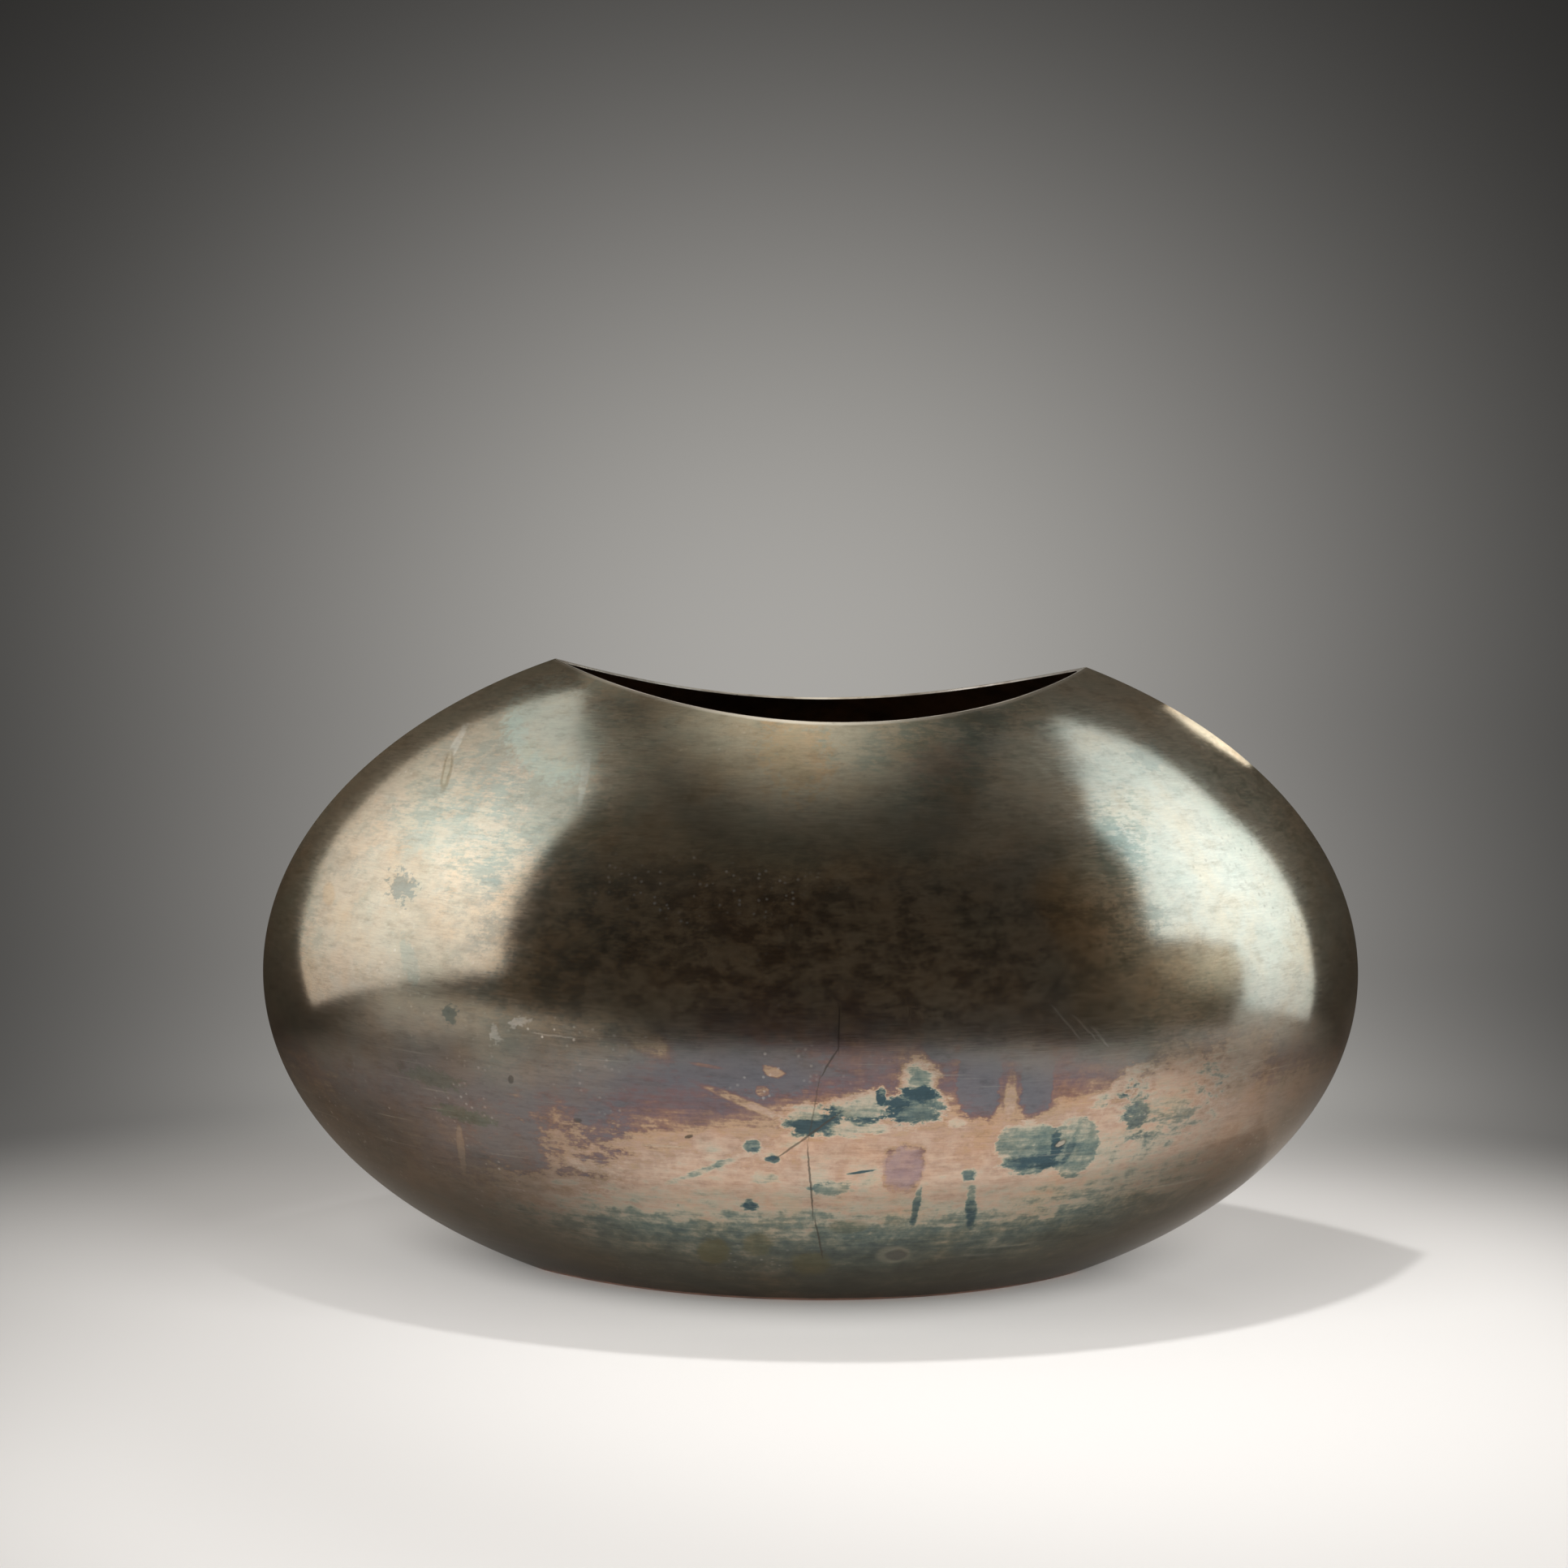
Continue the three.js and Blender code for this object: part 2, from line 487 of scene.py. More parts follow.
FRONT_MARKS = (
    # The thin film beside the left horn, with a paler run along its lower edge.
    Mark((-0.083, 0.160), (0.014, 0.015), rgba(0.37, 0.39, 0.32), 0.6, -10, 0.6),
    Mark((-0.086, 0.180), (0.0155, 0.0125), rgba(0.48, 0.56, 0.48), 0.8, -25, 0.25),
    Mark((-0.0755, 0.170), (0.0013, 0.0085), rgba(0.55, 0.58, 0.50), 0.7, -8, 0.2),
    Mark((-0.0830, 0.184), (0.0140, 0.0115), rgba(0.50, 0.495, 0.40), 0.75, -25, 0.35),
    Mark((-0.1165, 0.176), (0.0012, 0.0060), rgba(0.64, 0.63, 0.54), 0.5, -25, 0.3),
    # Spots on the left side's clean field.
    Mark((-0.131, 0.134), (0.0046, 0.0040), rgba(0.22, 0.25, 0.22), 0.75, 0, 1.1),
    Mark((-0.153, 0.138), (0.0060, 0.0040), rgba(0.36, 0.34, 0.27), 0.5, 0, 0.7),
    Mark((-0.128, 0.112), (0.0025, 0.0075), rgba(0.38, 0.40, 0.33), 0.6, 15, 0.5),
    Mark((-0.104, 0.138), (0.0030, 0.0014), rgba(0.30, 0.36, 0.32), 0.6, 0, 0.7),
    Mark((-0.119, 0.150), (0.0100, 0.0040), rgba(0.44, 0.46, 0.38), 0.4, 20, 0.9),
    # Spots and pale scuffs on the right side and below the mouth.
    Mark((0.085, 0.150), (0.0050, 0.0110), rgba(0.30, 0.37, 0.33), 0.35, 20, 0.6),
    Mark((0.101, 0.176), (0.0060, 0.0040), rgba(0.38, 0.42, 0.37), 0.5, 0, 0.6),
    Mark((0.032, 0.176), (0.0100, 0.0050), rgba(0.56, 0.46, 0.38), 0.5, 15, 1.0),
    Mark((0.050, 0.181), (0.0050, 0.0030), rgba(0.56, 0.56, 0.50), 0.5, 10, 0.8),
    Mark((0.021, 0.057), (0.0060, 0.0076), rgba(0.36, 0.28, 0.31), 0.7, 0, 0.25),
    Mark((-0.012, 0.178), (0.0100, 0.0120), rgba(0.58, 0.42, 0.25), 0.45, 0, 0.9),
    Mark((-0.110, 0.066), (0.0100, 0.0022), rgba(0.13, 0.15, 0.10), 0.55, -6, 0.6),
    Mark((-0.120, 0.077), (0.0090, 0.0030), rgba(0.14, 0.16, 0.12), 0.50, -8, 0.7),
    Mark((-0.115, 0.098), (0.0022, 0.0030), rgba(0.12, 0.16, 0.15), 0.7, 0, 0.6),
    Mark((-0.034, 0.024), (0.0050, 0.0060), OLIVE, 0.75, 0, 0.15),
    Mark((-0.021, 0.028), (0.0046, 0.0050), OLIVE, 0.6, 0, 0.2),
    Mark((-0.004, 0.020), (0.0060, 0.0056), OLIVE, 0.65, 0, 0.25),
    Mark((0.006, 0.036), (0.0060, 0.0028), OLIVE, 0.4),
    Mark((0.021, 0.024), (0.0055, 0.0038), rgba(0.30, 0.29, 0.23), 0.6),
    Mark((0.022, 0.0238), (0.0036, 0.0024), rgba(0.10, 0.10, 0.10), 0.7),
    Mark((-0.119, 0.168), (0.0016, 0.006), rgba(0.27, 0.22, 0.13), 0.6, -10),
    Mark((-0.119, 0.1685), (0.0008, 0.0045), rgba(0.54, 0.50, 0.38), 0.6, -10),
    Mark((-0.156, 0.128), (0.0022, 0.0035), ORANGE, 0.4),
    Mark((0.0688, 0.0632), (0.0022, 0.0012), SOOT, 0.5, 30),
    Mark((0.0688, 0.0632), (0.0016, 0.0007), rgba(0.5, 0.44, 0.36), 0.8, 30),
    # A crack in the plating that runs down the middle, and the scratches beside it.
    Mark((0.000, 0.101), (0.00028, 0.0075), SOOT, 0.6),
    Mark((-0.0025, 0.091), (0.00028, 0.0055), SOOT, 0.7, -30),
    Mark((-0.0065, 0.077), (0.00025, 0.011), SOOT, 0.45, -7),
    Mark((-0.0065, 0.052), (0.00030, 0.014), SOOT, 0.75, 7),
    Mark((-0.0025, 0.031), (0.00030, 0.009), SOOT, 0.7, 13),
    Mark((-0.008, 0.068), (0.013, 0.00035), SOOT, 0.7, 40),
    Mark((0.068, 0.102), (0.0004, 0.007), WHITE, 0.4, 42),
    Mark((0.074, 0.100), (0.0004, 0.006), WHITE, 0.4, 44),
    Mark((0.079, 0.097), (0.0004, 0.005), WHITE, 0.3, 40),
    Mark((-0.094, 0.098), (0.0030, 0.0012), WHITE, 0.45, 20, 1.2),
    Mark((-0.101, 0.094), (0.0012, 0.0030), WHITE, 0.35, 10, 1.2),
    Mark((-0.083, 0.095), (0.007, 0.0003), WHITE, 0.35, -3, 0.15),
    Mark((-0.076, 0.069), (0.0012, 0.0008), SOOT, 0.6),
    Mark((-0.043, 0.0665), (0.0012, 0.0006), SOOT, 0.8, 20),
    Mark((-0.096, 0.080), (0.0009, 0.0013), SOOT, 0.6),
)

# The back can't be seen from the front, so its stains are the front's, thinned out and moved.
BACK_STAINS = tuple(
    replace(
        stain,
        place=(0.015 - 0.85 * stain.place[0], 0.97 * stain.place[1] + 0.004),
        tilt=-stain.tilt,
        ragged=stain.ragged + 0.2,
    )
    for stain in FRONT_STAINS[::2]
)


@dataclass(frozen=True)
class TarnishedSilver:
    """Satin silver plate that has yellowed, with a rainbow of thicker tarnish low on the body."""

    name: str
    stains: tuple[Stain, ...]
    marks: tuple[Mark, ...]
    seed: Point
    cream: Colour = rgba(0.54, 0.495, 0.385)
    pale: Colour = rgba(0.62, 0.60, 0.51)
    # Pale metal along the mouth: rubbed wear with a painted highlight.
    bright: Colour = rgba(0.88, 0.83, 0.74)
    straw: Colour = rgba(0.41, 0.325, 0.22)
    rose: Colour = rgba(0.53, 0.45, 0.37)
    tan: Colour = rgba(0.30, 0.245, 0.20)
    veil: Colour = rgba(0.32, 0.38, 0.33)
    amber: Colour = rgba(0.66, 0.50, 0.33)
    rust: Colour = rgba(0.24, 0.15, 0.10)
    umber: Colour = rgba(0.25, 0.21, 0.18)
    # Painted shade: the dark tone laid on the low flanks, where the metal mirrors the floor's
    # shadow.
    painted_shadow_reflection: Colour = rgba(0.10, 0.09, 0.076)
    haze: Colour = rgba(1.0, 0.86, 0.70)
    grazing: Colour = rgba(0.66, 0.61, 0.56)
    # A dark tone that makes the body darker towards the foot.
    foot_darkening: Colour = rgba(0.105, 0.10, 0.083)
    outline: Oval = ((0.0, 0.101), (0.18, 0.115))
    brown_band: Oval = ((-0.005, 0.122), (0.11, 0.032))
    belly_middle: float = 0.012
    veiled: tuple[Oval, ...] = (
        ((-0.103, 0.152), (0.026, 0.014)),
        ((0.088, 0.152), (0.013, 0.020)),
    )
    scuffs: tuple[Oval, ...] = (
        ((-0.035, 0.137), (0.034, 0.010)),
        ((-0.085, 0.096), (0.030, 0.006)),
    )
    film: Stops = (
        (0.02, rgba(0.17, 0.165, 0.185)),
        (0.16, rgba(0.20, 0.14, 0.15)),
        (0.28, rgba(0.29, 0.19, 0.155)),
        (0.36, rgba(0.48, 0.34, 0.23)),
        (0.45, rgba(0.48, 0.34, 0.265)),
        (0.56, rgba(0.58, 0.44, 0.345)),
        (0.66, rgba(0.50, 0.46, 0.37)),
        (0.74, rgba(0.28, 0.31, 0.26)),
        (0.84, rgba(0.15, 0.20, 0.19)),
        (1.00, rgba(0.06, 0.10, 0.12)),
    )
    blotches: Stops = (
        (0.32, rgba(0.62, 0.60, 0.57)),
        (0.50, PLAIN),
        (0.68, rgba(1.12, 1.11, 1.08)),
    )
    hues: Stops = (
        (0.36, rgba(1.06, 0.93, 0.82)),
        (0.50, PLAIN),
        (0.64, rgba(0.86, 0.95, 0.97)),
    )
    brush_lines: Stops = ((0.3, rgba(0.74, 0.74, 0.74)), (0.7, PLAIN))
    roughness: float = 0.17
    hazy_roughness: float = 0.42
    haze_share: float = 0.09
    bump_height: float = 0.00002

    def build(self) -> bpy.types.Material:
        """Makes the material.

        Returns:
            The finished material.
        """
        tree = new_material(self.name)
        place = tree.place()
        grain = tree.mapped(place, (1.0, 1.0, 1.0), self.seed)
        colour = self.clean_metal(tree, place, grain)
        film = self.film_value(tree, place, grain)
        colour = self.thick_film(tree, place, grain, film, colour)
        colour = self.flecked(tree, place, grain, colour)
        colour = self.marked(tree, place, grain, colour)
        brushing = tree.stretched_noise(grain, (200.0, 200.0, 2600.0), 2.0, 0.6)
        colour = self.mottled(tree, grain, brushing, colour)
        colour = self.rim_wear_and_highlight(tree, place, grain, colour)
        wear = tree.noise(grain, 40.0, 5.0, 0.6)
        seam = tree.oval(place, *self.outline).stepped(0.7, 1.0)
        roughness = self.roughness - 0.06 * seam + 0.1 * (brushing - 0.5) + 0.12 * (wear - 0.5)
        relief = {"Strength": 0.2, "Distance": self.bump_height, "Height": brushing}
        bump = tree.node("ShaderNodeBump", {}, relief)
        return tree.finish(
            {
                "Base Color": colour,
                "Roughness": roughness,
                "Metallic": 1.0,
                "Anisotropic": 0.5,
                "Specular Tint": self.grazing,
                "Anisotropic Rotation": 0.25,
                "Normal": bump,
            },
            haze={
                "Base Color": tree.mix(1.0, colour, self.haze, "MULTIPLY"),
                "Roughness": self.hazy_roughness,
            },
            share=self.haze_share,
        )

    def marked(self, tree: ShaderTree, place: Sock, grain: Sock, colour: Sock) -> Sock:
        """Lays the marks over the colour.

        Args:
            tree: The material's tree.
            place: The point on the piece.
            grain: The point that noise is read at.
            colour: The colour under them.

        Returns:
            The colour.
        """
        ragged = tree.jittered(place, 300.0, 0.0006)
        edge = tree.stretched_noise(grain, (380.0, 380.0, 500.0), 6.0, 0.75)
        for mark in self.marks:
            off = tree.oval(ragged, mark.place, mark.half_size, mark.tilt)
            if mark.ragged:
                off = off + FRAYING * mark.ragged * (edge - 0.5)
            cover = (1 - off.stepped(0.75, 1.2)) * mark.strength
            colour = tree.mix(cover, colour, mark.colour)
        return colour

    def mottled(self, tree: ShaderTree, grain: Sock, brushing: Sock, colour: Sock) -> Sock:
        """Breaks the colour up with blotches, drifting hues and the lines of the brushing.

        Args:
            tree: The material's tree.
            grain: The point that noise is read at.
            brushing: The noise of the brushed lines.
            colour: The colour under them.

        Returns:
            The colour.
        """
        mottle = tree.stretched_noise(grain, (110.0, 110.0, 330.0), 8.0, 0.82)
        tones = tree.noise(grain, 42.0, 6.0, 0.66)
        layers = (
            (0.65, mottle, self.blotches),
            (0.55, tones, self.hues),
            (0.45, brushing, self.brush_lines),
        )
        for share, value, stops in layers:
            colour = tree.mix(share, colour, tree.ramp(value, stops), "MULTIPLY")
        return colour

    def clean_metal(self, tree: ShaderTree, place: Sock, grain: Sock) -> Sock:
        """Colours the upper body, where the tarnish is thin.

        Args:
            tree: The material's tree.
            place: The point on the piece.
            grain: The point that noise is read at.

        Returns:
            The colour.
        """
        x, _, z = tree.parts(place)
        right = x.stepped(-0.03, 0.09)
        colour = tree.mix(right, self.cream, self.pale)
        clouds = tree.stretched_noise(grain, (22.0, 22.0, 32.0), 7.0, 0.68)
        colour = tree.mix(clouds.stepped(0.46, 0.66) * (0.5 - 0.3 * right), colour, self.straw)
        blush = tree.stretched_noise(grain, (30.0, 30.0, 24.0), 6.0, 0.7)
        colour = tree.mix(blush.stepped(0.50, 0.64) * (0.2 - 0.12 * right), colour, self.rose)
        veil = tree.noise(grain, 17.0, 3.0, 0.6).stepped(0.46, 0.62)
        mottle = tree.stretched_noise(grain, (90.0, 90.0, 140.0), 8.0, 0.8)
        strokes = tree.stretched_noise(grain, (220.0, 220.0, 1300.0), 3.0, 0.6)
        for spot, half_size in self.veiled:
            off = tree.oval(place, spot, half_size) + 3 * (mottle - 0.5)
            veil = veil.highest(1 - off.stepped(0.5, 1.3))
        speckle = (mottle + 0.45 * (strokes - 0.5) + 0.05 * veil).stepped(0.48, 0.62)
        colour = tree.mix(speckle * (0.12 + 0.6 * veil), colour, self.veil)
        colour = tree.mix((1 - z.stepped(0.092, 0.120)) * 0.5, colour, self.tan)
        outward = tree.oval(place, *self.outline).stepped(0.75, 1.0)
        colour = tree.mix(outward * 0.55, colour, self.straw)
        band = tree.oval(place, *self.brown_band)
        brown = tree.mix(mottle.stepped(0.42, 0.6), self.amber, self.rust)
        return tree.mix((1 - band.stepped(0.3, 1.3)) * 0.8, colour, brown)

    def rim_wear_and_highlight(self, tree: ShaderTree, place: Sock, grain: Sock, colour: Sock) -> Sock:
        """Brightens the metal right beside the mouth, most in the middle: rubbed wear, and a
        painted highlight along the rim.

        Args:
            tree: The material's tree.
            place: The point on the piece.
            grain: The point that noise is read at.
            colour: The colour under it.

        Returns:
            The colour.
        """
        centre = LensBody.equator + LensBody.mouth_floor + LensBody.mouth_radius
        radius = LensBody.mouth_radius
        below = (tree.oval(place, (0.0, centre), (radius, radius)) - 1) * radius
        wear = 0.0006 * (tree.noise(grain, 60.0, 4.0, 0.6) - 0.5)
        # A thin band just below the mouth's edge is paled, most in the middle: wear and a painted
        # highlight.
        rubbed = 1 - (below + wear).stepped(0.0006, 0.0013)
        x, _, _ = tree.parts(place)
        middle = 0.3 + 0.55 * (1 - x.off_centre().stepped(0.03, 0.09))
        return tree.mix(rubbed * middle, colour, self.bright)

    def flecked(self, tree: ShaderTree, place: Sock, grain: Sock, colour: Sock) -> Sock:
        """Adds fine dark freckles, pale pinpricks and hairline scratches.

        Args:
            tree: The material's tree.
            place: The point on the piece.
            grain: The point that noise is read at.
            colour: The colour under them.

        Returns:
            The colour.
        """
        patchy = tree.noise(grain, 25.0, 3.0, 0.6)
        for size, spread, tone in ((420.0, 0.16, SOOT), (520.0, 0.16, WHITE)):
            values = {"Vector": grain, "Scale": size, "Randomness": 1.0}
            spot = tree.node("ShaderNodeTexVoronoi", {}, values, "Distance")
            luck, _, _ = tree.parts(Sock(tree, spot.value.node.outputs["Color"]))
            chosen = patchy.stepped(0.5, 0.72) * 0.6
            for scuffed, half_size in self.scuffs if tone is WHITE else ():
                off = tree.oval(place, scuffed, half_size) + 3 * (patchy - 0.5)
                chosen = chosen.highest(2 * (1 - off.stepped(0.5, 1.2)))
            chosen = chosen * luck.stepped(0.55, 0.8)
            cover = (1 - spot.stepped(spread, spread * 2)) * chosen
            colour = tree.mix(cover * 0.45, colour, tone)
            patchy = 1 - patchy
        for turn, fine in ((0.35, 700.0), (-0.9, 850.0), (1.2, 900.0)):
            lined = tree.mapped(grain, (25.0, 25.0, fine), (0.0, 0.0, 0.0), (0.0, turn, 0.0))
            line = tree.noise(lined, 1.0, 1.0, 0.4)
            colour = tree.mix(line.stepped(0.72, 0.80) * 0.16, colour, self.pale)
        return colour

    def film_value(self, tree: ShaderTree, place: Sock, grain: Sock) -> Sock:
        """Adds up the film: its run down the body, the noise in it and its stains.

        Args:
            tree: The material's tree.
            place: The point on the piece.
            grain: The point that noise is read at.

        Returns:
            The film's place on the colour ramp.
        """
        _, _, z = tree.parts(place)
        clouds = tree.noise(grain, 34.0, 6.0, 0.62)
        runs = tree.stretched_noise(grain, (140.0, 140.0, 11.0), 5.0, 0.6)
        wipes = tree.stretched_noise(grain, (60.0, 60.0, 600.0), 4.0, 0.7)
        level = z + 0.04 * (clouds - 0.5) + 0.035 * (runs - 0.5)
        film = 0.10 + 0.42 * (1 - level.stepped(0.060, 0.092))
        film = film + 0.10 * (1 - level.stepped(0.042, 0.055))
        film = film + 0.20 * (1 - level.stepped(0.033, 0.041))
        film = film + 0.55 * (clouds - 0.5) + 0.5 * (runs - 0.5) + 0.4 * (wipes - 0.5)
        film = film + 0.35 * (tree.noise(grain, 260.0, 3.0, 0.7) - 0.5)
        edge = tree.stretched_noise(grain, (150.0, 150.0, 330.0), 6.0, 0.75)
        for stain in self.stains:
            off = tree.oval(place, stain.place, stain.half_size, stain.tilt, stain.square)
            off = off + FRAYING * stain.ragged * (edge - 0.5)
            film = film + stain.shift * (1 - off.stepped(1 - stain.soft, 1 + stain.soft))
        return film

    def thick_film(
        self, tree: ShaderTree, place: Sock, grain: Sock, film: Sock, colour: Sock
    ) -> Sock:
        """Colours the lower body by its film, darker low down and out to the sides, with painted
        shade on the low flanks where the metal mirrors the floor's shadow.

        Args:
            tree: The material's tree.
            place: The point on the piece.
            grain: The point that noise is read at.
            film: The film's place on the colour ramp.
            colour: The colour above.

        Returns:
            The colour.
        """
        x, _, z = tree.parts(place)
        filmed = tree.ramp(film, self.film)
        aside = (x - self.belly_middle).off_centre()
        filmed = tree.mix(aside.stepped(0.06, 0.13) * 0.6, filmed, self.umber)
        # The body is darkened towards the foot.
        low = 1 - z.stepped(0.014, 0.042)
        filmed = tree.mix(low * 0.75, filmed, self.foot_darkening)
        # Painted shade on the low flanks, where the metal mirrors the shadow on the floor.
        shaded_flank = (1 - z.stepped(0.030, 0.075)) * aside.stepped(0.05, 0.12)
        shaded_flank = shaded_flank.highest(aside.stepped(0.11, 0.15) * (1 - z.stepped(0.056, 0.080)))
        filmed = tree.mix(shaded_flank * 0.75, filmed, self.painted_shadow_reflection)
        blotches = tree.noise(grain, 20.0, 3.0, 0.5)
        top = z + 0.03 * (blotches - 0.5) + 0.12 * aside
        return tree.mix(1 - top.stepped(0.088, 0.118), colour, filmed)


@dataclass(frozen=True)
class DarkInside:
    """The unpolished inside of the shells, almost black with old soldering soot."""

    name: str = "dark inside"
    sheet: Colour = rgba(0.42, 0.30, 0.18)
    soot: Colour = rgba(0.14, 0.10, 0.065)

    def build(self) -> bpy.types.Material:
        """Makes the material.

        Returns:
            The finished material.
        """
        tree = new_material(self.name)
        clouds = tree.noise(tree.place(), 28.0, 5.0, 0.6)
        colour = tree.mix(clouds.stepped(0.35, 0.7), self.sheet, self.soot)
        relief = {"Strength": 0.2, "Distance": 0.0004, "Height": clouds}
        bump = tree.node("ShaderNodeBump", {}, relief)
        return tree.finish(
            {"Base Color": colour, "Roughness": 0.4 + 0.2 * clouds, "Metallic": 1.0, "Normal": bump}
        )


@dataclass(frozen=True)
class RubbedEdge:
    """The cut edge of the sheet at the mouth, rubbed bright by hands and cleaning."""

    name: str = "rubbed edge"
    bright: Colour = rgba(0.88, 0.82, 0.72)
    dull: Colour = rgba(0.50, 0.42, 0.33)

    def build(self) -> bpy.types.Material:
        """Makes the material.

        Returns:
            The finished material.
        """
        tree = new_material(self.name)
        wear = tree.noise(tree.place(), 90.0, 4.0, 0.6)
        colour = tree.mix(wear.stepped(0.4, 0.7), self.bright, self.dull)
        return tree.finish(
            {"Base Color": colour, "Roughness": 0.22 + 0.15 * wear, "Metallic": 1.0}
        )


@dataclass(frozen=True)
class WornBrass:
    """Darkened brass sheet with a reddish cast, in clouds of clean and dirty metal."""

    name: str = "worn brass"
    clean: Colour = rgba(0.86, 0.60, 0.48)
    dirt: Colour = rgba(0.46, 0.30, 0.24)

    def build(self) -> bpy.types.Material:
        """Makes the material.

        Returns:
            The finished material.
        """
        tree = new_material(self.name)
        clouds = tree.noise(tree.place(), 40.0, 6.0, 0.65)
        colour = tree.mix(clouds.stepped(0.35, 0.7), self.clean, self.dirt)
        relief = {"Strength": 0.1, "Distance": 0.0003, "Height": clouds}
        bump = tree.node("ShaderNodeBump", {}, relief)
        roughness = 0.35 + 0.25 * clouds
        return tree.finish(
            {"Base Color": colour, "Roughness": roughness, "Metallic": 1.0, "Normal": bump}
        )


@dataclass(frozen=True)
class Dome:
    """One surface of a shell: a circular arc from its crown to its edge, swept round an oval."""

    width: float
    rise: float
    drop: float
    crown: float

    @property
    def arc_radius(self) -> float:
        """Radius of the arc across the dome."""
        return (self.width**2 + self.crown**2) / (2 * self.crown)

    def height(self, share: float) -> float:
        """Height over the widest line at a share of the way to the top (1) or bottom (-1)."""
        return ((self.rise + self.drop) * share + (self.rise - self.drop) * share**2) / 2

    def share(self, height: float) -> float:
        """Share of the way to the top or bottom at a height over the widest line."""
        middle = (self.rise + self.drop) / 2
        bias = (self.rise - self.drop) / 2
        return (math.sqrt(middle**2 + 4 * bias * height) - middle) / (2 * bias)

    def swell(self, across: float, share: float) -> float:
        """Height of the dome over the seam plane, at a place across the vase and a share."""
        square = self.arc_radius**2 - across**2 - (self.width * share) ** 2
        return max(math.sqrt(max(square, 0.0)) - self.arc_radius + self.crown, 0.0)


@dataclass(frozen=True)
class Patch:
    """The part of a dome that is left between its foot, its mouth and its two sides."""

    dome: Dome
    side: float
    foot: float
    mouth_floor: float
    mouth_radius: float
    drops: bool

    def mouth_height(self, across: float) -> float:
        """Height of the round mouth over the widest line at a place across the vase."""
        return self.mouth_floor + self.mouth_radius - math.sqrt(self.mouth_radius**2 - across**2)

    def side_point(self, angle: float) -> Flat:
        """Place across and share on the side of the patch, at an angle round the oval."""
        return self.side * math.cos(angle), self.side / self.dome.width * math.sin(angle)

    @property
    def foot_angle(self) -> float:
        """Angle round the oval at which the side meets the foot."""
        return math.asin(self.dome.share(self.foot) * self.dome.width / self.side)

    @property
    def horn_angle(self) -> float:
        """Angle round the oval at which the side meets the mouth."""
        low, high = 0.0, math.pi / 2
        for _ in range(50):
            middle = (low + high) / 2
            across, share = self.side_point(middle)
            if self.dome.height(share) < self.mouth_height(min(across, self.mouth_radius)):
                low = middle
            else:
                high = middle
        return low

    def point(self, along: float, up: float, foot_angle: float, horn_angle: float) -> Vector:
        """Finds the point of the dome that a point of the unit square stands for.

        Args:
            along: From -1 at the left side to 1 at the right side.
            up: From 0 at the foot to 1 at the mouth.
            foot_angle: The angle at which the side meets the foot.
            horn_angle: The angle at which the side meets the mouth.

        Returns:
            The point, with Z over the widest line.
        """
        angle = foot_angle + (horn_angle - foot_angle) * up
        side_across, side_share = self.side_point(angle)
        horn_across, horn_share = self.side_point(horn_angle)
        dip = self.dome.share(self.mouth_height(along * horn_across)) - horn_share
        across = along * side_across
        share = side_share + up * up * dip
        at_side = abs(along) == 1.0
        lift = 0.0 if at_side and self.drops else self.dome.swell(across, share)
        return Vector((across, lift, self.dome.height(share)))


